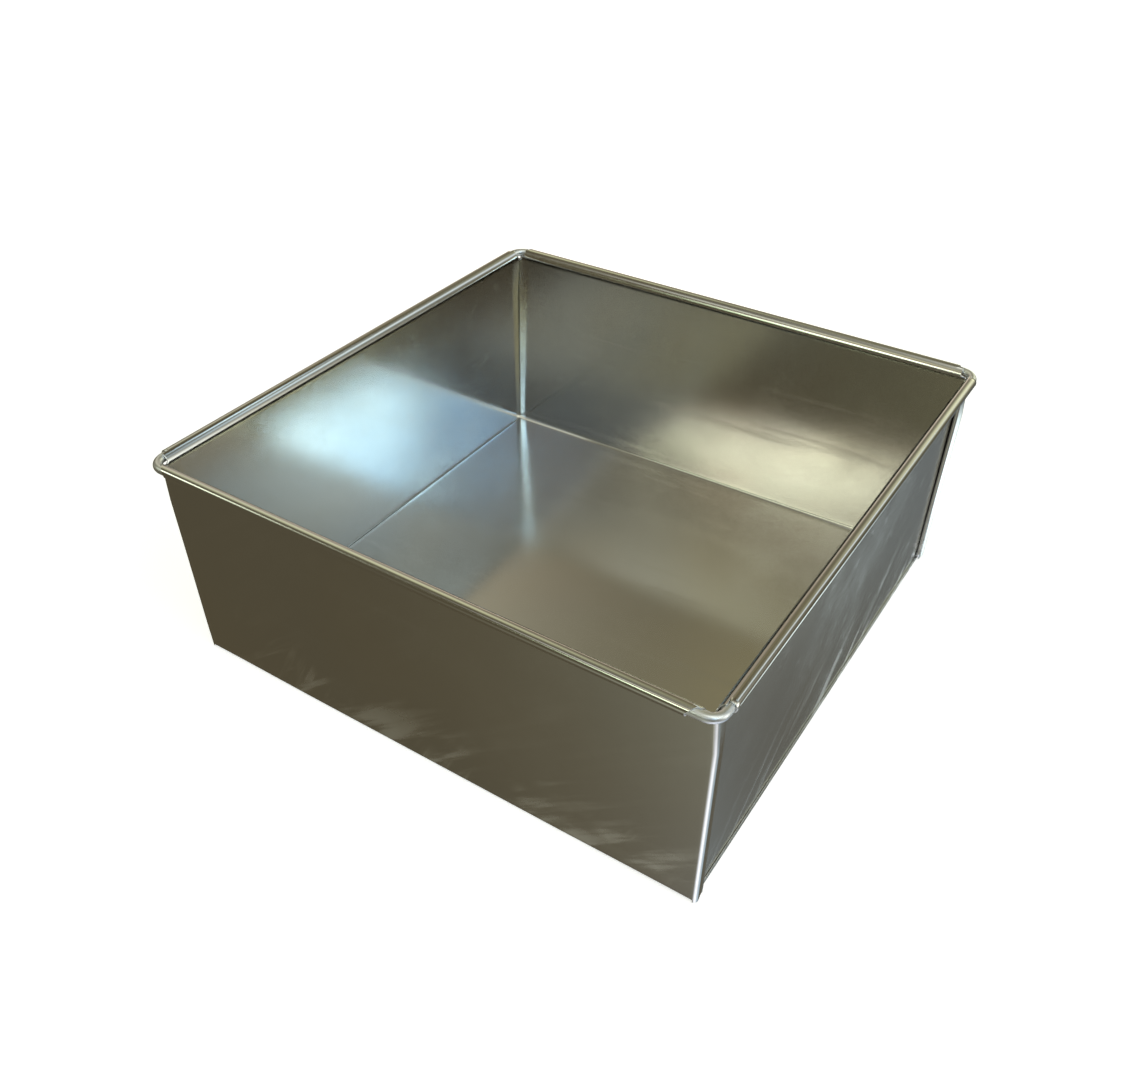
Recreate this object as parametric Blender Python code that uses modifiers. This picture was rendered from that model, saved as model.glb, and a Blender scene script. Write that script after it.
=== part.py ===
"""Deep square cake tin, made the way a tinsmith makes one.

One tinplate sheet folds up into the front wall, the floor and the back wall. Two end panels
close it, held by flat lock seams at the corners and by a flange turned up from the floor. The
top edges of all four walls roll outward over one steel wire, which shows at the four corners,
where the hems are cut back.

The frame: origin at the bottom centre, +Z up, front wall at -Y, end panels at +X and -X.
Lengths are in millimetres until flared() places a point in the scene, which is in metres.
"""

import math
from collections import namedtuple

import bmesh
import bpy

MM = 0.001
OBJECT_NAME = "square_cake_tin"

# Driving dimensions
INSIDE = 178.0  # inside width and inside depth, at the floor
HEIGHT = 75.5  # table to the top of the rim
SHEET = 0.35  # tinplate thickness
END_FLARE = 0.45  # each end panel leans out by this much at the rim
SIDE_FLARE = 1.2  # the front and back walls lean out by this much at the rim

# The wired rim
WIRE = 2.7
WIRE_CLEARANCE = 0.1  # wire to hem
RIM_OVERHANG = 2.65  # inside face of a wall to the wire's centre
SHOULDER_RADIUS = 4.0  # where a wall leans out below its hem
WIRE_BEND = 5.0  # centreline radius at the corners
WIRE_JOINT = 0.4  # between the ends of the wire, inside the back hem
HEM_CUTBACK = 4.2  # inside corner to the cut end of a hem
LIP_CUTBACK = 1.7  # inside corner to the end of the lip left beyond the hem
LIP_TURN = 25.0  # degrees of the hem's circle that the lip keeps
TUCK_TURN = 105.0  # degrees below the horizontal where the hem's raw edge turns in
TUCK_GAP = 0.25  # raw edge to wall

# The folds and seams of the body sheet
FOLD_RADIUS = 1.2  # floor to wall, mid-sheet
CORNER_RADIUS = 1.1  # wall to lock seam, mid-sheet
SEAM_PITCH = 0.45  # sheet to sheet in a lock seam
SEAM_WIDTH = 5.2  # along the end panel, from the outside corner
SEAM_TOP = 71.2
SEAM_BOTTOM = 0.25
FOOT_HEIGHT = 1.5  # flange turned up from the floor outside an end panel
FOOT_BEND = 0.3
FOOT_CUTBACK = 5.6  # middle of a wall sheet to the end of this flange
HOOK_OVERLAP = 0.15  # how far short of the panel's hook the sheet's own hook stops
CORNER_STEPS = 4  # stretches of the blank round a corner
FLANGE_STEPS = 3  # and over the seam

# The end panels
MARGIN_LOW = 3.6  # width of the strip that leans out towards a lock seam, at the floor
MARGIN_HIGH = 5.8  # and below the rim
MARGIN_TILT = 9.0  # degrees
MARGIN_RADIUS = 7.0
MARGIN_FADE = 60.0  # height above which this lean dies away
FOOT_MARGIN = 2.4  # strip that leans out towards the floor flange
FOOT_MARGIN_RADIUS = 12.0
PANEL_BOTTOM = 0.5
HOOK_BOTTOM = 0.9
HOOK_CENTRE = 1.15  # middle of a wall sheet to the centre of the panel's hook
HOOK_GAP = 0.1  # raw edge of the panel's hook to the fold of the sheet's

WALL = (INSIDE + SHEET) / 2  # middle of a wall sheet, from the centre plane
HEM_RADIUS = (WIRE + SHEET) / 2 + WIRE_CLEARANCE
WIRE_OUT = INSIDE / 2 + RIM_OVERHANG
WIRE_Z = HEIGHT - HEM_RADIUS - SHEET / 2
HEM_END = INSIDE / 2 - HEM_CUTBACK
LIP_END = INSIDE / 2 - LIP_CUTBACK
FOOT_END = WALL - FOOT_CUTBACK

Row = namedtuple("Row", "kind side out z seam_z")
Column = namedtuple("Column", "kind side out step")

TINPLATE = ("tinplate", (0.46, 0.44, 0.38), 0.30)
END_TINPLATE = ("end_tinplate", (0.44, 0.44, 0.41), 0.32)
TINNED_WIRE = ("tinned_wire", (0.60, 0.62, 0.63), 0.25)


def clear_scene():
    for obj in list(bpy.data.objects):
        bpy.data.objects.remove(obj, do_unlink=True)


def arc(centre, radius, start, end, steps):
    """Points on a circle from one angle to another, in degrees, both ends included."""
    angles = [math.radians(start + (end - start) * i / steps) for i in range(steps + 1)]
    return [(centre[0] + radius * math.cos(a), centre[1] + radius * math.sin(a)) for a in angles]


def between(start, end, steps):
    """Evenly spaced values after the start, up to and including the end."""
    return [start + (end - start) * (i + 1) / steps for i in range(steps)]


def flared(x, y, z):
    """The place in the scene of a point of the upright tin: all four walls lean out evenly."""
    rise = z / WIRE_Z
    return (
        x * (1 + END_FLARE / WALL * rise) * MM,
        y * (1 + SIDE_FLARE / WALL * rise) * MM,
        z * MM,
    )


def rim_section():
    """The mid-sheet line of a rim, as (part, out, z), from the flat wall to the raw edge."""
    reach = SHOULDER_RADIUS - HEM_RADIUS
    turn = math.degrees(math.acos((SHOULDER_RADIUS + WALL - WIRE_OUT) / reach))
    start_z = WIRE_Z - reach * math.sin(math.radians(turn))
    wire = (WIRE_OUT, WIRE_Z)
    shoulder = arc((WALL + SHOULDER_RADIUS, start_z), SHOULDER_RADIUS, 180, 180 - turn, 4)
    lip_end = 180 - turn - LIP_TURN
    lip = arc(wire, HEM_RADIUS, 180 - turn, lip_end, 2)[1:]
    hem = arc(wire, HEM_RADIUS, lip_end, -TUCK_TURN, 15)[1:]
    edge_out = WALL + SHEET / 2 + TUCK_GAP
    edge_z = hem[-1][1] + (hem[-1][0] - edge_out) * math.tan(math.radians(TUCK_TURN - 90))
    hem.append((edge_out, edge_z))
    parts = [("top", shoulder[:1]), ("lip", shoulder[1:] + lip), ("hem", hem)]
    return [(kind, out, z) for kind, points in parts for out, z in points]


def margin_lean(inward, z):
    """How far an end panel stands out beside a lock seam, this far inward from the wall."""
    fade = min(1.0, max(0.0, (SEAM_TOP - z) / (SEAM_TOP - MARGIN_FADE)))
    width = MARGIN_LOW + (MARGIN_HIGH - MARGIN_LOW) * min(1.0, z / MARGIN_FADE)
    across = max(0.0, width - inward)
    slope = math.tan(math.radians(MARGIN_TILT))
    bend = min(across, MARGIN_RADIUS * slope)
    return fade * (bend**2 / (2 * MARGIN_RADIUS) + slope * (across - bend))


def foot_lean(y, z):
    """How far an end panel stands out above the floor flange, which stops short of the seams."""
    fade = min(1.0, max(0.0, (FOOT_END - abs(y)) / FOOT_CUTBACK))
    return fade * max(0.0, FOOT_MARGIN - z) ** 2 / (2 * FOOT_MARGIN_RADIUS)


def seam_layer(layer, inward, z):
    """Distance out to the middle of one sheet of a lock seam; the end panel is layer 0."""
    return WALL + margin_lean(inward, z) + layer * SEAM_PITCH


def folded_sheet(name, rows, columns, place, kept, material):
    """A flat blank, folded by place(row, column), with its notches cut out where a square
    isn't kept, and then given its thickness."""
    bm = bmesh.new()
    across, along = len(columns) - 1, len(rows) - 1
    bmesh.ops.create_grid(bm, x_segments=across, y_segments=along, size=1)
    spots = {
        v: (round((v.co.y + 1) / 2 * along), round((v.co.x + 1) / 2 * across)) for v in bm.verts
    }
    notches = []
    for face in bm.faces:
        row = min(spots[v][0] for v in face.verts)
        column = min(spots[v][1] for v in face.verts)
        if not kept(rows[row : row + 2], columns[column : column + 2]):
            notches.append(face)
    for vert, (row, column) in spots.items():
        vert.co = flared(*place(rows[row], columns[column]))
    bmesh.ops.delete(bm, geom=notches, context="FACES")
    mesh = bpy.data.meshes.new(name)
    bm.to_mesh(mesh)
    bm.free()
    mesh.shade_smooth()
    sheet = bpy.data.objects.new(name, mesh)
    thickness = sheet.modifiers.new("thickness", "SOLIDIFY")
    thickness.thickness = SHEET * MM
    thickness.offset = 0
    thickness.use_even_offset = True
    sheet.modifiers.new("flat_faces_shade_flat", "WEIGHTED_NORMAL")
    sheet.data.materials.append(material)
    return sheet


def seam_path(z):
    """(out, inward) along the body sheet from a wall round its corner, out over the end
    panel and back under itself, as the outer half of a lock seam."""
    corner_out = seam_layer(3, CORNER_RADIUS, z) - CORNER_RADIUS
    corner = arc((corner_out, CORNER_RADIUS), CORNER_RADIUS, -90, 0, CORNER_STEPS)
    turn = SEAM_WIDTH - SHEET - SEAM_PITCH
    flange = [(seam_layer(3, d, z), d) for d in between(CORNER_RADIUS, turn, FLANGE_STEPS)]
    hook = arc((seam_layer(2, turn, z), turn), SEAM_PITCH, 0, 180, 6)[1:]
    under = [(seam_layer(1, d, z), d) for d in between(turn, HOOK_CENTRE + HOOK_OVERLAP, 3)]
    return corner + flange + hook + under


def foot_path():
    """(out, up) along the floor's edge as it turns up outside an end panel."""
    low, high = [WALL + foot_lean(0, z) + SEAM_PITCH for z in (SHEET, FOOT_HEIGHT)]
    bend = arc((low - FOOT_BEND, FOOT_BEND), FOOT_BEND, -90, 0, 4)
    return bend + [(high, FOOT_HEIGHT - SHEET / 2)]


def body_rows():
    """Stations along the body sheet, from the front hem over the floor to the back hem.
    seam_z is the height of the seam flange cut from the same stretch of the blank."""
    fold = arc((WALL - FOLD_RADIUS, SHEET / 2 + FOLD_RADIUS), FOLD_RADIUS, -90, 0, 5)
    drop = between(SEAM_BOTTOM, SHEET / 2 + FOLD_RADIUS, 5)
    half = [("floor", out, SHEET / 2, 0) for out in (FOOT_END, FOOT_END + SHEET)]
    half += [("fold", out, z, s) for (out, z), s in zip(fold, [SEAM_BOTTOM] + drop)]
    half += [("wall", WALL, z, z) for z in (MARGIN_FADE, SEAM_TOP)]
    half += [(kind, out, z, z) for kind, out, z in rim_section()]
    front = [Row(kind, -1, out, z, s) for kind, out, z, s in reversed(half)]
    back = [Row(kind, 1, out, z, s) for kind, out, z, s in half]
    return front + back


def body_columns():
    """Stations across the body sheet. Step 0 is where it starts to turn round the corner."""
    steps = len(seam_path(0))
    right = [Column("flat", 1, out, 0) for out in (HEM_END, LIP_END)]
    right += [Column("seam", 1, 0, step) for step in range(steps)]
    left = [Column(column.kind, -1, column.out, column.step) for column in reversed(right)]
    return left + [Column("flat", 1, 0, 0)] + right


def place_body(row, column):
    if column.kind == "flat":
        return column.side * column.out, row.side * row.out, row.z
    on_foot = row.kind == "floor" and row.out <= FOOT_END
    if on_foot:
        foot = foot_path()
        out, up = foot[min(column.step, len(foot) - 1)]
        return column.side * out, row.side * row.out, row.z + up
    out, inward = seam_path(row.seam_z)[column.step]
    if column.step == 0:
        return column.side * out, row.side * row.out, max(row.z, row.seam_z)
    return column.side * out, row.side * (WALL - inward), row.seam_z


def hem_span(columns, end):
    """Whether this square lies in a hem that is cut off at the end given."""
    return all(column.kind == "flat" and column.out <= end for column in columns)


def body_is_kept(rows, columns):
    kinds = {row.kind for row in rows}
    step = max(column.step for column in columns)
    if "hem" in kinds:
        return hem_span(columns, HEM_END)
    if "lip" in kinds:
        return hem_span(columns, LIP_END)
    if step == 0 or "wall" in kinds:
        return True
    if kinds == {"floor"}:
        return all(row.out <= FOOT_END for row in rows) and step < len(foot_path())
    return kinds == {"fold"} and step <= CORNER_STEPS + FLANGE_STEPS


def body_sheet(material):
    return folded_sheet(
        "body_sheet", body_rows(), body_columns(), place_body, body_is_kept, material
    )


def hook_path(z):
    """(out, inward) along an end panel's edge, from the panel back under the body's flange."""
    middle = seam_layer(1, HOOK_CENTRE, z)
    turn = arc((middle, HOOK_CENTRE), SEAM_PITCH, 180, 360, 6)
    end = SEAM_WIDTH - SHEET - SEAM_PITCH - HOOK_GAP
    return turn + [(seam_layer(2, d, z), d) for d in between(HOOK_CENTRE, end, 3)]


def panel_rows():
    heights = [PANEL_BOTTOM, HOOK_BOTTOM] + between(HOOK_BOTTOM, FOOT_MARGIN, 2)
    rows = [Row("wall", 1, WALL, z, z) for z in heights + [MARGIN_FADE, SEAM_TOP]]
    return rows + [Row(kind, 1, out, z, z) for kind, out, z in rim_section()]


def panel_columns():
    bend = MARGIN_RADIUS * math.tan(math.radians(MARGIN_TILT))
    margin = [WALL - MARGIN_HIGH, WALL - MARGIN_HIGH + bend, WALL - MARGIN_LOW + bend]
    flat = sorted(margin + [FOOT_END - FOOT_CUTBACK, HEM_END, LIP_END])
    back = [Column("flat", 1, out, 0) for out in flat]
    back += [Column("hook", 1, 0, step) for step in range(len(hook_path(0)))]
    front = [Column(column.kind, -1, column.out, column.step) for column in reversed(back)]
    return front + back


def place_panel(row, column):
    """A point of the right-hand end panel."""
    if column.kind == "flat":
        y = column.side * column.out
        lean = margin_lean(WALL - column.out, row.z) + foot_lean(y, row.z)
        return row.out + lean, y, row.z
    out, inward = hook_path(row.z)[column.step]
    return out, column.side * (WALL - inward), row.z


def panel_is_kept(rows, columns):
    kinds = {row.kind for row in rows}
    step = max(column.step for column in columns)
    if "hem" in kinds:
        return hem_span(columns, HEM_END)
    if "lip" in kinds:
        return hem_span(columns, LIP_END)
    hooked = kinds == {"wall"} and min(row.z for row in rows) >= HOOK_BOTTOM
    return step == 0 or hooked


def end_panel(name, side, material):
    def place(row, column):
        x, y, z = place_panel(row, column)
        return side * x, y, z

    return folded_sheet(name, panel_rows(), panel_columns(), place, panel_is_kept, material)


def wire_path():
    """Centreline of the rim wire, from one end inside the back hem all the way round."""
    bend_at = WIRE_OUT - WIRE_BEND
    corners = [(-bend_at, bend_at, 90), (-bend_at, -bend_at, 180)]
    corners += [(bend_at, -bend_at, 270), (bend_at, bend_at, 360)]
    path = [(-WIRE_JOINT / 2, WIRE_OUT)]
    for x, y, start in corners:
        path += arc((x, y), WIRE_BEND, start, start + 90, 8)
    return path + [(WIRE_JOINT / 2, WIRE_OUT)]


def rim_wire(material):
    curve = bpy.data.curves.new("rim_wire", "CURVE")
    curve.dimensions = "3D"
    curve.bevel_depth = WIRE / 2 * MM
    curve.bevel_resolution = 4
    curve.use_fill_caps = True
    path = wire_path()
    spline = curve.splines.new("POLY")
    spline.points.add(len(path) - 1)
    for point, (x, y) in zip(spline.points, path):
        point.co = (*flared(x, y, WIRE_Z), 1)
    curve.materials.append(material)
    return bpy.data.objects.new("rim_wire", curve)


def metal(name, colour, roughness):
    material = bpy.data.materials.new(name)
    material.use_nodes = True
    shader = material.node_tree.nodes["Principled BSDF"]
    shader.inputs["Base Color"].default_value = (*colour, 1)
    shader.inputs["Metallic"].default_value = 1.0
    shader.inputs["Roughness"].default_value = roughness
    return material


def build():
    clear_scene()
    collection = bpy.data.collections.new(OBJECT_NAME)
    bpy.context.scene.collection.children.link(collection)
    root = bpy.data.objects.new(OBJECT_NAME + "_origin", None)
    collection.objects.link(root)
    sheet_metal = metal(*TINPLATE)
    end_metal = metal(*END_TINPLATE)
    parts = [
        body_sheet(sheet_metal),
        end_panel("right_end_panel", 1, end_metal),
        end_panel("left_end_panel", -1, end_metal),
        rim_wire(metal(*TINNED_WIRE)),
    ]
    for part in parts:
        collection.objects.link(part)
        part.parent = root


build()
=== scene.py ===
"""The looks of a deep square cake tin of bright tinplate: an open box with a wired rim.

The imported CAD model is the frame. Its four pieces are rebuilt here from the same folds at a
finer pitch, with the tool marks and the unevenness of hand-made work, and stand where they do.
Lengths are in millimetres until flared() places a point in the scene, which is in metres.
"""

import math
from collections import namedtuple

import bmesh
import bpy
from mathutils import Matrix, Vector, noise


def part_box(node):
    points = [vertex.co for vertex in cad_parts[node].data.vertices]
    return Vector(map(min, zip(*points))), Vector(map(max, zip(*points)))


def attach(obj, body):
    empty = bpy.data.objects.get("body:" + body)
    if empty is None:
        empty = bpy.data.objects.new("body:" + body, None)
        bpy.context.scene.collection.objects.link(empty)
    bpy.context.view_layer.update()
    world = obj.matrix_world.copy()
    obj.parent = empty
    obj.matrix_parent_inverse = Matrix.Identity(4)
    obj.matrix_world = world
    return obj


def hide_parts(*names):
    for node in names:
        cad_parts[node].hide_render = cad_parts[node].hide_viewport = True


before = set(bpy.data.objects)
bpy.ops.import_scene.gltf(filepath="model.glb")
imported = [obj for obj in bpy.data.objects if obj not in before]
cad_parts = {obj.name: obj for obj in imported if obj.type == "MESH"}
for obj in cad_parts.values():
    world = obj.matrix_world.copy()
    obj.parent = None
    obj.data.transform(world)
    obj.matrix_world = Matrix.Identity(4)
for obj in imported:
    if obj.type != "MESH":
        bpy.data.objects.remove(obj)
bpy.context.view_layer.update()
MM = 0.001

# Sizes read from the frame
BODY_LOW, BODY_HIGH = (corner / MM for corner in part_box("body_sheet"))
WIRE_LOW, WIRE_HIGH = (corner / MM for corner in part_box("rim_wire"))
WIRE = WIRE_HIGH.z - WIRE_LOW.z
WIRE_Z = (WIRE_HIGH.z + WIRE_LOW.z) / 2

# The folds, as the CAD model has them
INSIDE = 178.0  # inside width and inside depth, at the floor
SHEET = 0.35
END_FLARE = 0.45
SIDE_FLARE = 1.2
WIRE_CLEARANCE = 0.1
RIM_OVERHANG = 2.65
SHOULDER_RADIUS = 4.0
WIRE_BEND = 5.0
WIRE_JOINT = 0.4
HEM_CUTBACK = 4.2
LIP_CUTBACK = 1.7
LIP_TURN = 25.0
TUCK_TURN = 105.0
TUCK_GAP = 0.25
FOLD_RADIUS = 1.2
CORNER_RADIUS = 1.1
SEAM_PITCH = 0.45
SEAM_WIDTH = 5.2
SEAM_TOP = 71.2
FOOT_HEIGHT = 1.5
FOOT_BEND = 0.3
FOOT_CUTBACK = 5.6
MARGIN_LOW = 3.6  # width of the strip beside a lock seam that leans out, at the floor
MARGIN_HIGH = 5.8  # and below the rim
MARGIN_TILT = 9.0  # degrees
MARGIN_FADE = 60.0
FOOT_MARGIN = 2.4  # an end panel's foot curves outward from this height
PANEL_BOTTOM = 0.5
HOOK_BOTTOM = 0.9
HOOK_OVERLAP = 0.15  # from the middle of an end panel's fold to the body sheet's raw edge
HOOK_GAP = 0.1  # from the middle of the body sheet's fold to an end panel's raw edge

# Folds that differ a little from the CAD model's, to look like the picture
SEAM_BOTTOM = 0.33
MARGIN_RADIUS = 3.0
FOOT_MARGIN_RADIUS = 24.0
HOOK_CENTRE = 0.87
SHOULDER_TOP = 73.3  # between hem and corner, the walls rise to here
PANEL_SHOULDER_CUTBACK = 1.15  # on an end panel, that stretch stops this far short
HEM_TRIM = 0.012  # keeps the finer curve inside the frame

# How finely the blanks are divided
CORNER_STEPS = 8  # stretches of the blank round a corner
FLANGE_STEPS = 6  # and over the seam
WALL_START = 3  # height of the lowest row of a front or back wall
STRIP_GAP = 0.2  # from the strip beside a lock seam to the next column
NEARLY = 1e-6  # two columns closer than this are the same one

# Unevenness of hand-made work
BACK_FOOT_SHIFT = -0.4  # how far back the back wall's foot is moved, at its middle
BACK_FOOT_SKEW = 1.4  # and how much more at its right end, and less at its left
WAVE_LENGTH = 55.0
WAVE_HEIGHT = 0.12
CALM_RISE = 0.12  # share of the height, at floor and rim, where the waves die away
EDGE_WEAR = 0.06
WORN_ANGLE = 60  # edges that turn by more degrees than this are worn
FOOT_LIFT = 0.085  # keeps the folded corners above the table
FOOT_LIFT_FADE = 3.0
CREASE_LENGTH = 42.0  # how far from a corner a floor fold is pressed flat
CREASE_FLATNESS = 0.85
PANEL_HEM_REACH = 1.1  # how much further an end panel's hem reaches than the CAD model's
HEM_SLANT = 2.4  # how much further a front or back hem reaches at its lip than underneath
HEM_SLANT_TURN = 105  # degrees of its circle that the slant takes
HEM_SLANT_BACK = 0.3  # share of the slant that falls short of the CAD model's cut
NEAR_WIRE_BEND = 3.6

WALL = (INSIDE + SHEET) / 2
HEM_RADIUS = (WIRE + SHEET) / 2 + WIRE_CLEARANCE - HEM_TRIM
WIRE_OUT = INSIDE / 2 + RIM_OVERHANG
HEM_END = INSIDE / 2 - HEM_CUTBACK
LIP_END = INSIDE / 2 - LIP_CUTBACK
SHOULDER_END = INSIDE / 2
PANEL_SHOULDER_END = INSIDE / 2 - PANEL_SHOULDER_CUTBACK
FOOT_END = WALL - FOOT_CUTBACK

# Camera
CAMERA_PLACE = (153.9, -249.3, 250.3)
CAMERA_YAW = 33.089
CAMERA_PITCH = 39.052
CAMERA_ROLL = 0.237
FOCAL_LENGTH = 34.79
SENSOR_WIDTH = 36.0
CAMERA_SHIFT = 0.023
NEAREST = 0.01  # metres

# Table, in metres
TABLE_REACH = 3  # from its middle to each side
TABLE_DROP = 0.0002  # keeps it clear of the tin's underside
TABLE_WHITE = (0.9, 0.9, 0.9, 1)
TABLE_ROUGHNESS = 0.9
TABLE_GLOW = 0.6

# Metal: colours, roughnesses, and the heights of its relief in metres
TIN_WARM = (0.66, 0.64, 0.59, 1)
TIN_COOL = (0.64, 0.64, 0.62, 1)
TIN_SCUFFED = (0.97, 0.95, 0.92, 1)
TIN_ROUGHNESS = 0.12
SPANGLE_ROUGHNESS = 0.03
SMUDGE_ROUGHNESS = 0.05
HAIRLINE_ROUGHNESS = 0.05
SCUFF_ROUGHNESS = 0.22
SCUFF_LIGHTENING = 0.5
SPANGLE_HEIGHT = 0.0000002
DENT_HEIGHT = 0.00004
WIRE_GRAIN_HEIGHT = 0.000012
RIDGE_HEIGHT = 0.00001
WIRE_DULL = (0.78, 0.80, 0.82, 1)
WIRE_BRIGHT = (0.88, 0.90, 0.92, 1)
WIRE_ROUGHNESS = 0.36
WIRE_GRAIN_ROUGHNESS = 0.1
CUT_EDGE = (0.85, 0.85, 0.84, 1)
CUT_EDGE_ROUGHNESS = 0.45

# Patterns in the metal, and the values of each between which it fades in
SPANGLE = {"scale": 900, "detail": 3, "roughness": 0.6}
SMUDGE = {"scale": 28, "detail": 4, "roughness": 0.55, "shift": (3, 7, 1)}
TARNISH = {"scale": 9, "detail": 2, "roughness": 0.5, "shift": (11, 2, 5)}
HAIRLINE = {
    "scale": 160,
    "detail": 2,
    "roughness": 0.7,
    "stretch": (0.06, 1, 1),
    "shift": (2, 9, 4),
}
STREAK = {"scale": 190, "detail": 3, "roughness": 0.6, "stretch": (1, 1, 0.09)}
PATCH = {"scale": 34, "detail": 2, "roughness": 0.5}
WIRE_GRAIN = {"scale": 700, "detail": 2, "roughness": 0.6}
WIRE_TARNISH = {"scale": 60, "detail": 3, "roughness": 0.5}
RIDGE = {"scale": 1400, "detail": 1, "roughness": 0.5}
SPANGLE_RANGE = (0.3, 0.7)
SMUDGE_RANGE = (0.4, 0.75)
TARNISH_RANGE = (0.35, 0.65)
HAIRLINE_RANGE = (0.58, 0.75)
STREAK_RANGE = (0.47, 0.64)
WIRE_TARNISH_RANGE = (0.3, 0.7)
RIDGE_RANGE = (0.3, 0.7)
SCUFF_HEIGHTS = (0.003, 0.03)  # metres; scuffs fade between them to the share below
SCUFFS_ABOVE = 0.06

# Light: soft round glows seen in the metal, (azimuth, elevation, sharpness, colour). They
# were fitted, and a few adjusted, so that the reflections look like the picture's.
AMBIENT = (0.111, 0.094, 0.059)
GLOWS = [
    (50, 46, 500, (1.50, 2.00, 2.30)),
    (60, -33, 170, (2.20, 2.60, 2.70)),
    (-39, 33, 500, (5.34, 8.07, 10.01)),
    (-146, 26, 170, (4.03, 4.40, 3.41)),
    (-39, 29, 500, (2.96, 4.24, 5.06)),
    (15, 4, 25, (2.93, 3.08, 2.93)),
    (-104, 28, 500, (3.44, 4.00, 3.05)),
    (-60, 70, 25, (2.35, 2.45, 2.21)),
    (-10, 40, 25, (2.11, 2.23, 2.03)),
    (-110, 24, 500, (2.39, 3.38, 2.02)),
    (-39, 37, 500, (1.07, 1.84, 2.54)),
    (-54, -62, 25, (1.35, 1.42, 1.63)),
    (80, 17, 25, (1.52, 1.55, 1.08)),
    (-110, 28, 500, (1.76, 1.70, 1.66)),
    (-22, -51, 25, (1.12, 1.20, 1.35)),
    (120, -3, 25, (1.13, 0.97, 0.80)),
    (-44, 33, 500, (0.00, 0.67, 2.10)),
    (50, 30, 170, (0.81, 0.93, 1.01)),
    (41, 30, 170, (0.63, 0.86, 1.02)),
    (58, 22, 170, (0.64, 0.76, 0.96)),
    (-104, 30, 170, (0.96, 0.73, 0.55)),
    (-122, 46, 170, (0.69, 0.74, 0.72)),
    (158, 53, 25, (0.72, 0.76, 0.50)),
    (-94, -32, 25, (0.63, 0.69, 0.57)),
    (31, -57, 25, (0.44, 0.61, 0.78)),
    (-54, 37, 500, (0.57, 0.55, 0.61)),
    (145, 31, 25, (0.55, 0.50, 0.43)),
    (-110, 46, 170, (0.57, 0.54, 0.31)),
    (-77, 29, 25, (0.26, 0.36, 0.48)),
    (108, 46, 170, (0.18, 0.16, 0.08)),
    (76, -26, 25, (0.03, 0.06, 0.10)),
]

Row = namedtuple("Row", "kind side out z seam_z")
Column = namedtuple("Column", "kind side out step")


def arc(centre, radius, start, end, steps):
    """Points on a circle from one angle to another, in degrees, both ends included."""
    angles = [math.radians(start + (end - start) * i / steps) for i in range(steps + 1)]
    return [(centre[0] + radius * math.cos(a), centre[1] + radius * math.sin(a)) for a in angles]


def between(start, end, steps):
    """Evenly spaced values after the start, up to and including the end."""
    return [start + (end - start) * (i + 1) / steps for i in range(steps)]


def flared(x, y, z):
    """The place in the scene of a point of the upright tin. All four walls lean out, the back
    wall's foot is a little out of square, the sheet is a little uneven between the floor and
    the rim, and the lowest edges are lifted clear of the table."""
    rise = z / WIRE_Z
    back = max(0.0, y / WALL) ** 2 * max(0.0, 1 - rise)
    skew = back * (BACK_FOOT_SHIFT + BACK_FOOT_SKEW * x / WALL)
    calm = max(0.0, min(1.0, (1 - rise) / CALM_RISE)) * min(1.0, z / (WIRE_Z * CALM_RISE))
    wave = noise.noise_vector(Vector((x, y, z)) / WAVE_LENGTH) * WAVE_HEIGHT * calm
    return Vector(
        (
            x * (1 + END_FLARE / WALL * rise) + wave.x,
            y * (1 + SIDE_FLARE / WALL * rise) + wave.y + skew,
            z + FOOT_LIFT * max(0.0, 1 - z / FOOT_LIFT_FADE),
        )
    ) * MM


def rim_section():
    """The mid-sheet line of a rim, as (part, out, z), from the flat wall to the raw edge."""
    reach = SHOULDER_RADIUS - HEM_RADIUS
    turn = math.degrees(math.acos((SHOULDER_RADIUS + WALL - WIRE_OUT) / reach))
    start_z = WIRE_Z - reach * math.sin(math.radians(turn))
    wire = (WIRE_OUT, WIRE_Z)
    shoulder = arc((WALL + SHOULDER_RADIUS, start_z), SHOULDER_RADIUS, 180, 180 - turn, 8)
    lip_end = 180 - turn - LIP_TURN
    lip = arc(wire, HEM_RADIUS, 180 - turn, lip_end, 4)[1:]
    hem = arc(wire, HEM_RADIUS, lip_end, -TUCK_TURN, 36)[1:]
    edge_out = WALL + SHEET / 2 + TUCK_GAP
    edge_z = hem[-1][1] + (hem[-1][0] - edge_out) * math.tan(math.radians(TUCK_TURN - 90))
    hem.append((edge_out, edge_z))
    low = [point for point in shoulder[1:] if point[1] < SHOULDER_TOP]
    lip = shoulder[1 + len(low) :] + lip
    parts = [("top", shoulder[:1]), ("shoulder", low), ("lip", lip), ("hem", hem)]
    return [(kind, out, z) for kind, points in parts for out, z in points]


def margin_lean(inward, z):
    """How far an end panel stands out beside a lock seam, this far inward from the wall."""
    fade = min(1.0, max(0.0, (SEAM_TOP - z) / (SEAM_TOP - MARGIN_FADE)))
    width = MARGIN_LOW + (MARGIN_HIGH - MARGIN_LOW) * min(1.0, z / MARGIN_FADE)
    across = max(0.0, width - inward)
    slope = math.tan(math.radians(MARGIN_TILT))
    bend = min(across, MARGIN_RADIUS * slope)
    return fade * (bend**2 / (2 * MARGIN_RADIUS) + slope * (across - bend))


def foot_lean(y, z):
    """How far an end panel stands out above the floor flange, which stops short of the seams."""
    fade = min(1.0, max(0.0, (FOOT_END - abs(y)) / FOOT_CUTBACK))
    return fade * max(0.0, FOOT_MARGIN - z) ** 2 / (2 * FOOT_MARGIN_RADIUS)


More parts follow.
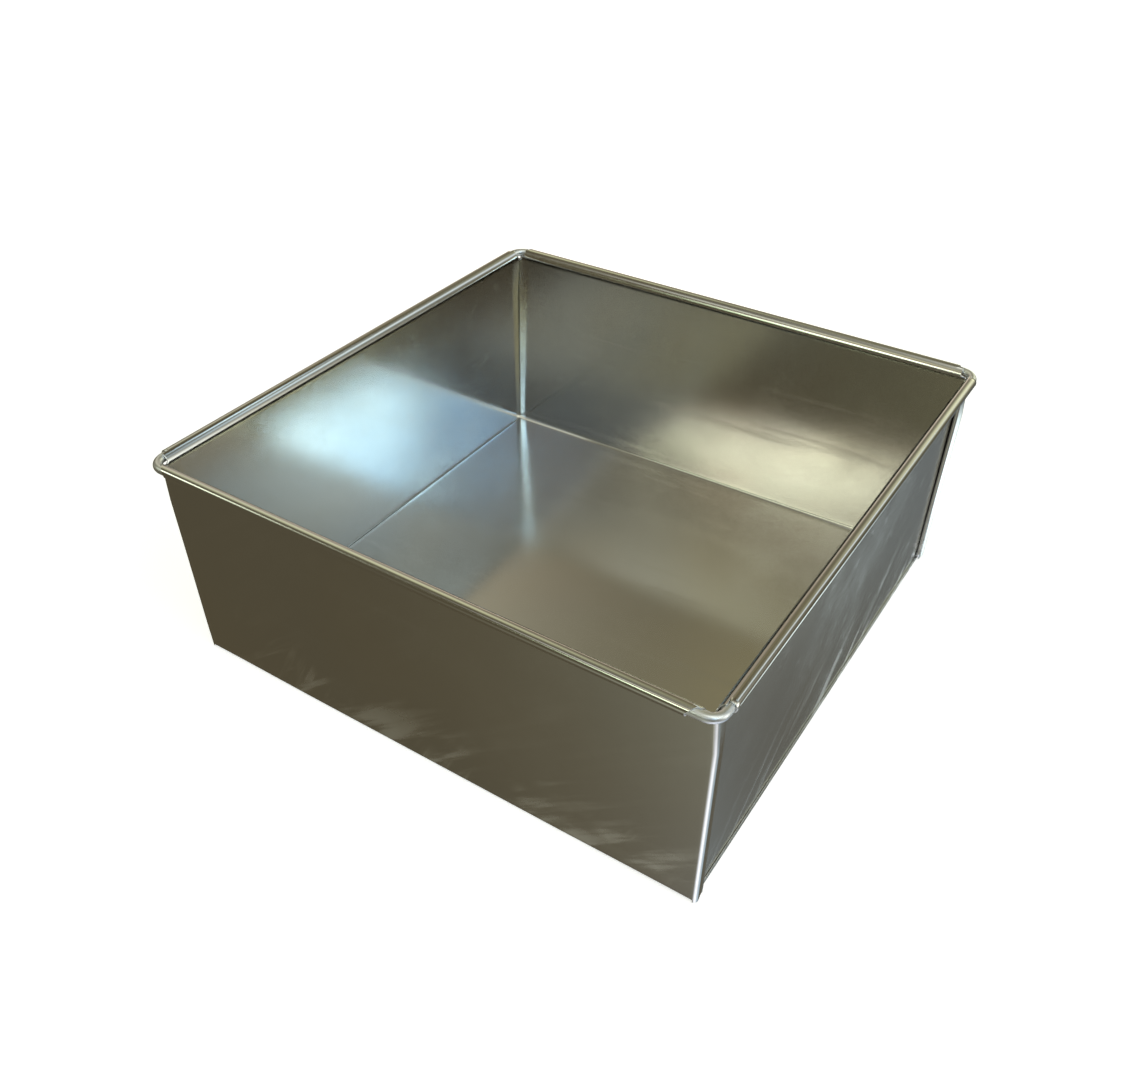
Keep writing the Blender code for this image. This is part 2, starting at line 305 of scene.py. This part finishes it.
def seam_layer(layer, inward, z):
    """Distance out to the middle of one sheet of a lock seam; the end panel is layer 0."""
    return WALL + margin_lean(inward, z) + layer * SEAM_PITCH


def folded_sheet(name, rows, columns, place, kept, materials):
    """A flat blank, folded by place(row, column), with its notches cut out where a square
    isn't kept, and then given its thickness."""
    bm = bmesh.new()
    across, along = len(columns) - 1, len(rows) - 1
    bmesh.ops.create_grid(bm, x_segments=across, y_segments=along, size=1)
    spots = {
        v: (round((v.co.y + 1) / 2 * along), round((v.co.x + 1) / 2 * across)) for v in bm.verts
    }
    notches = []
    for face in bm.faces:
        row = min(spots[v][0] for v in face.verts)
        column = min(spots[v][1] for v in face.verts)
        if not kept(rows[row : row + 2], columns[column : column + 2]):
            notches.append(face)
    for vert, (row, column) in spots.items():
        vert.co = flared(*place(rows[row], columns[column]))
    bmesh.ops.delete(bm, geom=notches, context="FACES")
    mesh = bpy.data.meshes.new(name)
    bm.to_mesh(mesh)
    bm.free()
    mesh.shade_smooth()
    sheet = bpy.data.objects.new(name, mesh)
    thickness = sheet.modifiers.new("thickness", "SOLIDIFY")
    thickness.thickness = SHEET * MM
    thickness.offset = 0
    thickness.use_even_offset = True
    thickness.material_offset = 1
    thickness.material_offset_rim = 2
    edges = sheet.modifiers.new("worn_edges", "BEVEL")
    edges.width = EDGE_WEAR * MM
    edges.limit_method = "ANGLE"
    edges.angle_limit = math.radians(WORN_ANGLE)
    edges.segments = 1
    edges.use_clamp_overlap = True
    sheet.modifiers.new("flat_faces_shade_flat", "WEIGHTED_NORMAL")
    for material in materials:
        sheet.data.materials.append(material)
    bpy.context.scene.collection.objects.link(sheet)
    return sheet


def seam_path(z):
    """(out, inward) along the body sheet from a wall round its corner, out over the end
    panel and back under itself, as the outer half of a lock seam."""
    corner_out = seam_layer(3, CORNER_RADIUS, z) - CORNER_RADIUS
    corner = arc((corner_out, CORNER_RADIUS), CORNER_RADIUS, -90, 0, CORNER_STEPS)
    turn = SEAM_WIDTH - SHEET - SEAM_PITCH
    flange = [(seam_layer(3, d, z), d) for d in between(CORNER_RADIUS, turn, FLANGE_STEPS)]
    hook = arc((seam_layer(2, turn, z), turn), SEAM_PITCH, 0, 180, 10)[1:]
    under = [(seam_layer(1, d, z), d) for d in between(turn, HOOK_CENTRE + HOOK_OVERLAP, 4)]
    return corner + flange + hook + under


def foot_path():
    """(out, up) along the floor's edge as it turns up outside an end panel."""
    low, high = [WALL + foot_lean(0, z) + SEAM_PITCH for z in (SHEET, FOOT_HEIGHT)]
    bend = arc((low - FOOT_BEND, FOOT_BEND), FOOT_BEND, -90, 0, 6)
    return bend + [(high, FOOT_HEIGHT - SHEET / 2)]


def body_rows():
    """Stations along the body sheet, from the front hem over the floor to the back hem.
    seam_z is the height of the seam flange cut from the same stretch of the blank."""
    fold = arc((WALL - FOLD_RADIUS, SHEET / 2 + FOLD_RADIUS), FOLD_RADIUS, -90, 0, 10)
    drop = between(SEAM_BOTTOM, SHEET / 2 + FOLD_RADIUS, 10)
    flat = between(0, FOOT_END, 12) + between(FOOT_END, FOOT_END + SHEET, 1)
    half = [("floor", out, SHEET / 2, 0) for out in flat]
    half += [("fold", out, z, s) for (out, z), s in zip(fold, [SEAM_BOTTOM] + drop)]
    climb = between(WALL_START, MARGIN_FADE, 10) + between(MARGIN_FADE, SEAM_TOP, 2)
    half += [("wall", WALL, z, z) for z in [WALL_START] + climb]
    half += [(kind, out, z, z) for kind, out, z in rim_section()]
    front = [Row(kind, -1, out, z, s) for kind, out, z, s in reversed(half)]
    back = [Row(kind, 1, out, z, s) for kind, out, z, s in half]
    return front + [Row("floor", 1, 0, SHEET / 2, 0)] + back


def body_columns():
    """Stations across the body sheet. Step 0 is where it starts to turn round the corner."""
    steps = len(seam_path(0))
    flat = between(0, HEM_END, 14) + [LIP_END, SHOULDER_END]
    right = [Column("flat", 1, out, 0) for out in flat]
    right += [Column("seam", 1, 0, step) for step in range(steps)]
    left = [Column(column.kind, -1, column.out, column.step) for column in reversed(right)]
    return left + [Column("flat", 1, 0, 0)] + right


def hem_cut(row, end):
    """Where a hem ends at this row of its section: the cut slants, and reaches furthest at
    the lip."""
    turn = math.degrees(math.atan2(row.z - WIRE_Z, row.out - WIRE_OUT))
    share = min(1.0, max(0.0, turn / HEM_SLANT_TURN))
    return end - HEM_SLANT * HEM_SLANT_BACK + HEM_SLANT * share


def creased(row, x):
    """(out, z) of a fold between floor and wall, pressed flat towards the corners."""
    share = max(0.0, 1 - (WALL - x) / CREASE_LENGTH) * CREASE_FLATNESS
    along = (row.out + FOLD_RADIUS - WALL) / FOLD_RADIUS
    up = (row.z - SHEET / 2) / FOLD_RADIUS
    straight = (along + up) / 2
    out = row.out + share * FOLD_RADIUS * (straight - along)
    return out, row.z + share * FOLD_RADIUS * (straight - up)


def place_body(row, column):
    if column.kind == "flat":
        x = column.out
        if row.kind == "fold":
            out, z = creased(row, x)
            return column.side * x, row.side * out, z
        if row.kind == "hem" and abs(x - HEM_END) < NEARLY:
            x = hem_cut(row, HEM_END)
        return column.side * x, row.side * row.out, row.z
    on_foot = row.kind == "floor" and row.out <= FOOT_END
    if on_foot:
        foot = foot_path()
        out, up = foot[min(column.step, len(foot) - 1)]
        return column.side * out, row.side * row.out, row.z + up
    out, inward = seam_path(row.seam_z)[column.step]
    if column.step == 0:
        return column.side * out, row.side * row.out, max(row.z, row.seam_z)
    return column.side * out, row.side * (WALL - inward), row.seam_z


def hem_span(columns):
    return all(column.kind == "flat" for column in columns)


def body_is_kept(rows, columns):
    kinds = {row.kind for row in rows}
    step = max(column.step for column in columns)
    reach = max(column.out for column in columns)
    for kind, end in (("hem", HEM_END), ("lip", LIP_END), ("shoulder", SHOULDER_END)):
        if kind in kinds:
            return hem_span(columns) and reach <= end + NEARLY
    if step == 0 or "wall" in kinds:
        return True
    if kinds == {"floor"}:
        return all(row.out <= FOOT_END + NEARLY for row in rows) and step < len(foot_path())
    return kinds == {"fold"} and step <= CORNER_STEPS + FLANGE_STEPS


def hook_path(z):
    """(out, inward) along an end panel's edge, from the panel back under the body's flange."""
    middle = seam_layer(1, HOOK_CENTRE, z)
    turn = arc((middle, HOOK_CENTRE), SEAM_PITCH, 180, 360, 10)
    end = SEAM_WIDTH - SHEET - SEAM_PITCH - HOOK_GAP
    return turn + [(seam_layer(2, d, z), d) for d in between(HOOK_CENTRE, end, 4)]


def panel_rows():
    heights = [PANEL_BOTTOM, HOOK_BOTTOM] + between(HOOK_BOTTOM, FOOT_MARGIN, 3)
    heights += between(FOOT_MARGIN, MARGIN_FADE, 10) + between(MARGIN_FADE, SEAM_TOP, 2)
    rows = [Row("wall", 1, WALL, z, z) for z in heights]
    return rows + [Row(kind, 1, out, z, z) for kind, out, z in rim_section()]


def panel_columns():
    margin = [WALL - inward for inward in between(MARGIN_HIGH + STRIP_GAP, HOOK_CENTRE, 12)]
    flat = between(0, FOOT_END - FOOT_CUTBACK, 12)
    flat += [WALL - MARGIN_HIGH - STRIP_GAP, HEM_END, LIP_END, PANEL_SHOULDER_END]
    flat = sorted(flat + margin[:-1])
    back = [Column("flat", 1, out, 0) for out in flat]
    back += [Column("hook", 1, 0, step) for step in range(len(hook_path(0)))]
    front = [Column(column.kind, -1, column.out, column.step) for column in reversed(back)]
    return front + [Column("flat", 1, 0, 0)] + back


def place_panel(row, column):
    """A point of the right-hand end panel."""
    if column.kind == "flat":
        y = column.side * column.out
        if row.kind == "hem" and abs(column.out - HEM_END) < NEARLY:
            y += column.side * PANEL_HEM_REACH
        if row.kind in ("wall", "top"):
            return row.out + margin_lean(WALL - column.out, row.z) + foot_lean(y, row.z), y, row.z
        return row.out, y, row.z
    out, inward = hook_path(row.z)[column.step]
    return out, column.side * (WALL - inward), row.z


def panel_is_kept(rows, columns):
    kinds = {row.kind for row in rows}
    step = max(column.step for column in columns)
    reach = max(column.out for column in columns)
    for kind, end in (("hem", HEM_END), ("lip", LIP_END), ("shoulder", PANEL_SHOULDER_END)):
        if kind in kinds:
            return hem_span(columns) and reach <= end + NEARLY
    hooked = kinds == {"wall"} and min(row.z for row in rows) >= HOOK_BOTTOM
    return step == 0 or hooked


def body_sheet(materials):
    rows, columns = body_rows(), body_columns()
    return folded_sheet("body_sheet_metal", rows, columns, place_body, body_is_kept, materials)


def end_panel(name, side, materials):
    def place(row, column):
        x, y, z = place_panel(row, column)
        return side * x, y, z

    return folded_sheet(name, panel_rows(), panel_columns(), place, panel_is_kept, materials)


def wire_path():
    """Centreline of the rim wire, from one end inside the back hem all the way round."""
    path = [(-WIRE_JOINT / 2, WIRE_OUT)]
    for x_side, y_side, start, bend in (
        (-1, 1, 90, WIRE_BEND),
        (-1, -1, 180, WIRE_BEND),
        (1, -1, 270, NEAR_WIRE_BEND),
        (1, 1, 360, WIRE_BEND),
    ):
        centre = (x_side * (WIRE_OUT - bend), y_side * (WIRE_OUT - bend))
        path += arc(centre, bend, start, start + 90, 16)
    return path + [(WIRE_JOINT / 2, WIRE_OUT)]


def rim_wire(material):
    curve = bpy.data.curves.new("rim_wire_steel", "CURVE")
    curve.dimensions = "3D"
    curve.bevel_depth = WIRE / 2 * MM
    curve.bevel_resolution = 8
    curve.use_fill_caps = True
    path = wire_path()
    spline = curve.splines.new("POLY")
    spline.points.add(len(path) - 1)
    for point, (x, y) in zip(spline.points, path):
        point.co = (*flared(x, y, WIRE_Z), 1)
    spline.use_smooth = True
    curve.materials.append(material)
    wire = bpy.data.objects.new("rim_wire_steel", curve)
    bpy.context.scene.collection.objects.link(wire)
    return wire


class Nodes:
    """Short calls that add nodes to one tree and link them."""

    def __init__(self, tree):
        self.tree = tree

    def add(self, kind, inputs=None, **settings):
        node = self.tree.nodes.new("ShaderNode" + kind)
        for name, value in settings.items():
            setattr(node, name, value)
        for name, value in (inputs or {}).items():
            self.put(node.inputs[name], value)
        return node

    def put(self, socket, value):
        if isinstance(value, bpy.types.NodeSocket):
            self.tree.links.new(value, socket)
        else:
            socket.default_value = value

    def math(self, operation, first, second=None, third=None, clamp=False):
        values = {i: v for i, v in enumerate((first, second, third)) if v is not None}
        return self.add("Math", values, operation=operation, use_clamp=clamp).outputs[0]

    def noise(self, place, scale, detail=2.0, roughness=0.5, stretch=(1, 1, 1), shift=(0, 0, 0)):
        mapped = self.add("Mapping", {"Vector": place, "Scale": stretch, "Location": shift})
        values = {
            "Vector": mapped.outputs[0],
            "Scale": scale,
            "Detail": detail,
            "Roughness": roughness,
        }
        return self.add("TexNoise", values).outputs["Fac"]

    def fade(self, value, low, high, start=0.0, end=1.0):
        """start below low, end above high, and smooth between."""
        values = {
            "Value": value,
            "From Min": low,
            "From Max": high,
            "To Min": start,
            "To Max": end,
        }
        node = self.add("MapRange", values, interpolation_type="SMOOTHSTEP")
        return node.outputs["Result"]

    def blend(self, share, first, second):
        values = {0: share, 6: first, 7: second}
        return self.add("Mix", values, data_type="RGBA").outputs[2]


def metal(name):
    material = bpy.data.materials.new(name)
    material.use_nodes = True
    tree = material.node_tree
    shader = tree.nodes["Principled BSDF"]
    shader.inputs["Metallic"].default_value = 1.0
    return material, Nodes(tree), shader


def tinplate(name, scuffs=None):
    """Bright tinplate: faintly mottled, smudged, with fine hairlines; scuffed where asked."""
    material, nodes, shader = metal(name)
    place = nodes.add("TexCoord").outputs["Object"]
    spangle = nodes.noise(place, **SPANGLE)
    smudge = nodes.noise(place, **SMUDGE)
    tarnish = nodes.noise(place, **TARNISH)
    hairline = nodes.noise(place, **HAIRLINE)
    colour = nodes.blend(nodes.fade(tarnish, *TARNISH_RANGE), TIN_WARM, TIN_COOL)
    rough = TIN_ROUGHNESS
    for pattern, limits, roughness in (
        (smudge, SMUDGE_RANGE, SMUDGE_ROUGHNESS),
        (spangle, SPANGLE_RANGE, SPANGLE_ROUGHNESS),
        (hairline, HAIRLINE_RANGE, HAIRLINE_ROUGHNESS),
    ):
        rough = nodes.math("MULTIPLY_ADD", nodes.fade(pattern, *limits), roughness, rough)
    if scuffs:
        worn = scuffs(nodes, place)
        rough = nodes.math("MULTIPLY_ADD", worn, SCUFF_ROUGHNESS, rough)
        colour = nodes.blend(nodes.math("MULTIPLY", worn, SCUFF_LIGHTENING), colour, TIN_SCUFFED)
    grain = nodes.add("Bump", {"Height": spangle, "Strength": 1.0, "Distance": SPANGLE_HEIGHT})
    relief = nodes.add(
        "Bump",
        {"Height": smudge, "Strength": 1.0, "Distance": DENT_HEIGHT, "Normal": grain.outputs[0]},
    )
    nodes.put(shader.inputs["Base Color"], colour)
    nodes.put(shader.inputs["Roughness"], rough)
    nodes.put(shader.inputs["Normal"], relief.outputs[0])
    return material


def wiped(nodes, place, turn, low, high, shift):
    """Feathery marks, as a cloth or an oven shelf leaves: long, thin, broken, in patches."""
    turned = nodes.add("Mapping", {"Vector": place, "Rotation": turn, "Location": shift})
    streaks = nodes.noise(turned.outputs[0], **STREAK)
    patches = nodes.noise(place, **PATCH, shift=shift)
    marks = nodes.fade(streaks, *STREAK_RANGE)
    return nodes.math("MULTIPLY", marks, nodes.fade(patches, low, high))


def scuffs(*turns):
    """Scuffs on the outside, along these turns: thick near the foot of a wall, faint above."""

    def marks(nodes, place):
        height = nodes.add("SeparateXYZ", {"Vector": place}).outputs["Z"]
        near_foot = nodes.fade(height, *SCUFF_HEIGHTS, 1.0, SCUFFS_ABOVE)
        slanting = wiped(nodes, place, turns[0], 0.36, 0.52, (0.02, 0.01, 0.04))
        upright = wiped(nodes, place, turns[1], 0.5, 0.68, (0.07, 0.03, 0.01))
        return nodes.math("MULTIPLY", nodes.math("MAXIMUM", slanting, upright), near_foot)

    return marks


def wire_steel(name):
    material, nodes, shader = metal(name)
    place = nodes.add("TexCoord").outputs["Object"]
    drawn = nodes.noise(place, **WIRE_GRAIN)
    dull = nodes.noise(place, **WIRE_TARNISH)
    colour = nodes.blend(nodes.fade(dull, *WIRE_TARNISH_RANGE), WIRE_DULL, WIRE_BRIGHT)
    rough = nodes.math("MULTIPLY_ADD", drawn, WIRE_GRAIN_ROUGHNESS, WIRE_ROUGHNESS)
    nodes.put(shader.inputs["Base Color"], colour)
    nodes.put(shader.inputs["Roughness"], rough)
    grain = nodes.add("Bump", {"Height": drawn, "Strength": 1.0, "Distance": WIRE_GRAIN_HEIGHT})
    nodes.put(shader.inputs["Normal"], grain.outputs[0])
    return material


def cut_steel(name):
    """Sheared edge of the sheet: bright and matt, with the shear's fine ridges."""
    material, nodes, shader = metal(name)
    place = nodes.add("TexCoord").outputs["Object"]
    ridges = nodes.noise(place, **RIDGE)
    colour = nodes.blend(nodes.fade(ridges, *RIDGE_RANGE), WIRE_BRIGHT, CUT_EDGE)
    grain = nodes.add("Bump", {"Height": ridges, "Strength": 1.0, "Distance": RIDGE_HEIGHT})
    nodes.put(shader.inputs["Base Color"], colour)
    shader.inputs["Roughness"].default_value = CUT_EDGE_ROUGHNESS
    nodes.put(shader.inputs["Normal"], grain.outputs[0])
    return material


def compass(azimuth, elevation):
    """A direction, from degrees round from +X towards +Y and degrees up."""
    a, e = math.radians(azimuth), math.radians(elevation)
    return (math.cos(a) * math.cos(e), math.sin(a) * math.cos(e), math.sin(e))


def add_world():
    """A pale studio. The metal sees soft glows; the camera sees a plain white backdrop."""
    world = bpy.data.worlds.new("studio")
    bpy.context.scene.world = world
    world.use_nodes = True
    nodes = Nodes(world.node_tree)
    direction = nodes.add("TexCoord").outputs["Generated"]
    total = AMBIENT
    for azimuth, elevation, sharpness, colour in GLOWS:
        centre = compass(azimuth, elevation)
        facing = nodes.add("VectorMath", {0: direction, 1: centre}, operation="DOT_PRODUCT")
        falloff = nodes.math("MULTIPLY_ADD", facing.outputs["Value"], sharpness, -sharpness)
        glow = nodes.math("EXPONENT", falloff)
        values = {0: glow, 1: colour, 2: total}
        total = nodes.add("VectorMath", values, operation="MULTIPLY_ADD").outputs["Vector"]
    seen = nodes.add("LightPath").outputs["Is Camera Ray"]
    backdrop = world.node_tree.nodes["Background"]
    backdrop.inputs["Color"].default_value = (1, 1, 1, 1)
    backdrop.inputs["Strength"].default_value = 1.0
    surroundings = nodes.add("Background", {"Color": total})
    both = nodes.add("MixShader", {0: seen, 1: surroundings.outputs[0], 2: backdrop.outputs[0]})
    nodes.put(world.node_tree.nodes["World Output"].inputs["Surface"], both.outputs[0])


def add_floor():
    mesh = bpy.data.meshes.new("table")
    bm = bmesh.new()
    bmesh.ops.create_grid(bm, x_segments=1, y_segments=1, size=TABLE_REACH)
    bm.to_mesh(mesh)
    bm.free()
    floor = bpy.data.objects.new("table", mesh)
    floor.location.z = -TABLE_DROP
    material = bpy.data.materials.new("white_table")
    material.use_nodes = True
    shader = material.node_tree.nodes["Principled BSDF"]
    shader.inputs["Base Color"].default_value = TABLE_WHITE
    shader.inputs["Roughness"].default_value = TABLE_ROUGHNESS
    shader.inputs["Emission Color"].default_value = (1, 1, 1, 1)
    shader.inputs["Emission Strength"].default_value = TABLE_GLOW
    mesh.materials.append(material)
    floor.visible_glossy = False
    bpy.context.scene.collection.objects.link(floor)


def add_camera():
    yaw, pitch, roll = (math.radians(a) for a in (CAMERA_YAW, CAMERA_PITCH, CAMERA_ROLL))
    back = Vector(
        (math.sin(yaw) * math.cos(pitch), -math.cos(yaw) * math.cos(pitch), math.sin(pitch))
    )
    level = Vector((0, 0, 1)).cross(back).normalized()
    upright = back.cross(level)
    right = level * math.cos(roll) + upright * math.sin(roll)
    up = upright * math.cos(roll) - level * math.sin(roll)
    data = bpy.data.cameras.new("camera")
    data.lens = FOCAL_LENGTH
    data.sensor_width = SENSOR_WIDTH
    data.shift_y = CAMERA_SHIFT
    data.clip_start = NEAREST
    camera = bpy.data.objects.new("camera", data)
    turn = Matrix((right, up, back)).transposed().to_4x4()
    camera.matrix_world = Matrix.Translation(Vector(CAMERA_PLACE) * MM) @ turn
    bpy.context.scene.collection.objects.link(camera)
    bpy.context.scene.camera = camera


def add_pieces():
    inside = tinplate("tinplate_inside")
    outside = tinplate("tinplate_outside", scuffs((0, -0.9, 0), (0, -0.5, 0.1)))
    end_outside = tinplate("end_tinplate_outside", scuffs((0.9, 0, 0), (0.5, 0.1, 0)))
    edge = cut_steel("cut_edge")
    body = body_sheet((inside, outside, edge))
    right = end_panel("right_end_panel_metal", 1, (end_outside, inside, edge))
    left = end_panel("left_end_panel_metal", -1, (inside, end_outside, edge))
    wire = rim_wire(wire_steel("tinned_wire"))
    pieces = [
        (body, "body_sheet", "tinplate"),
        (right, "right_end_panel", "end_tinplate"),
        (left, "left_end_panel", "end_tinplate"),
        (wire, "rim_wire", "tinned_wire"),
    ]
    for piece, node, slot in pieces:
        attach(piece, "root")
        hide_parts(node)


add_pieces()
add_camera()
add_world()
add_floor()
bpy.context.scene.view_settings.view_transform = "Standard"
